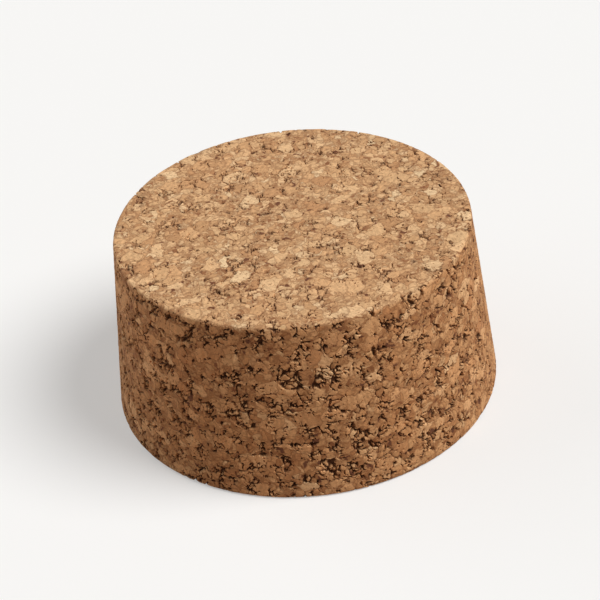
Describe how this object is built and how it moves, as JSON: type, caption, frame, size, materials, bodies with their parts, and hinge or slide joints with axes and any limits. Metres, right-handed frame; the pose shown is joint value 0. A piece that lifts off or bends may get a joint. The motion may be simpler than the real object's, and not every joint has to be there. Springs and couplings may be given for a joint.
{
  "type": "cork stopper",
  "caption": "Short, wide tapered stopper of pressed cork granules that plugs the round mouth of a jar, crock or flask.",
  "frame": {"origin": "centre of the wide end face, which the stopper stands on", "axes": "+Z along the stopper's axis, up from the wide end to the narrow end; X and Y are alike, because the part is round"},
  "size_m": [0.05, 0.05, 0.0245],
  "materials": {
    "cork": "matt ground agglomerated cork: tan and brown granules of 1 to 3 mm with open pits between them"
  },
  "bodies": {
    "root": {"stopper": "cork"}
  },
  "joints": []
}
